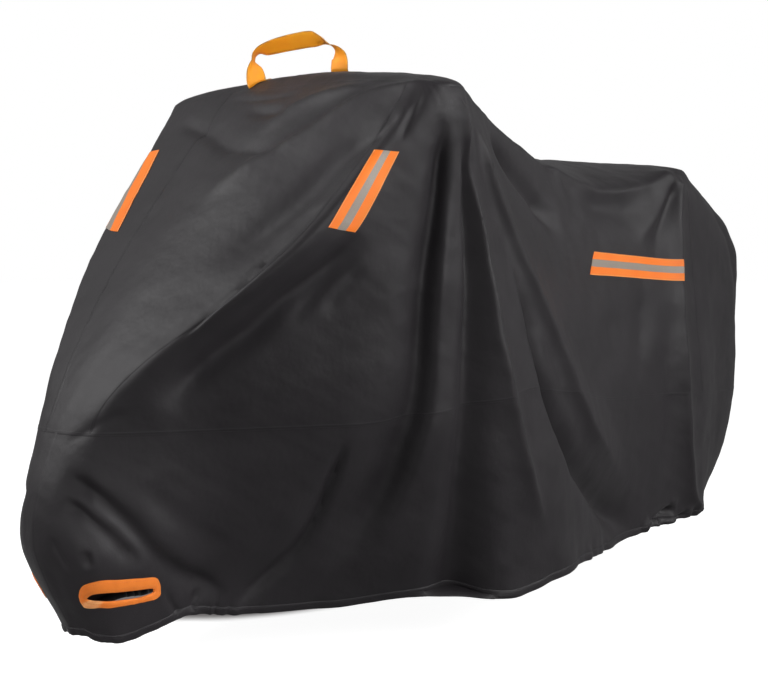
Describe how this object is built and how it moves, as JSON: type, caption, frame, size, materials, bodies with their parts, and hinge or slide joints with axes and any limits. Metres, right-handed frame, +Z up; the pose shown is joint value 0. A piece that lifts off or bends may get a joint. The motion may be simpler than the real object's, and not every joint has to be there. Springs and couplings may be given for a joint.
{
  "type": "motorcycle cover",
  "caption": "Fitted dust and rain cover of black coated polyester that drapes over a two-wheeler, with an elastic hem, reflective strips, bound lock slots and a carry handle.",
  "frame": {"origin": "middle of the bounding box's base, at the height of the hem's lowest point", "axes": "+X from the nose to the tail, +Y to the cover's right side, +Z up"},
  "size_m": [2.5644, 1.052, 1.3887],
  "materials": {
    "cover_cloth": "tightly woven black polyester with a slight sheen",
    "orange_tape": "folded woven binding tape",
    "reflective_tape": "fluorescent orange tape with a grey reflective centre",
    "amber_webbing": "woven nylon webbing"
  },
  "bodies": {
    "root": {"crown": "cover_cloth", "front_panel": "cover_cloth", "side_panel_left": "cover_cloth", "side_panel_right": "cover_cloth", "tail_panel": "cover_cloth", "skirt_left": "cover_cloth", "skirt_right": "cover_cloth", "lock_band_left": "cover_cloth", "lock_band_right": "cover_cloth", "lock_binding_left": "orange_tape", "lock_binding_right": "orange_tape", "reflective_strip_front_left": "reflective_tape", "reflective_strip_front_right": "reflective_tape", "reflective_strip_rear_left": "reflective_tape", "reflective_strip_rear_right": "reflective_tape", "carry_handle": "amber_webbing"}
  },
  "joints": []
}
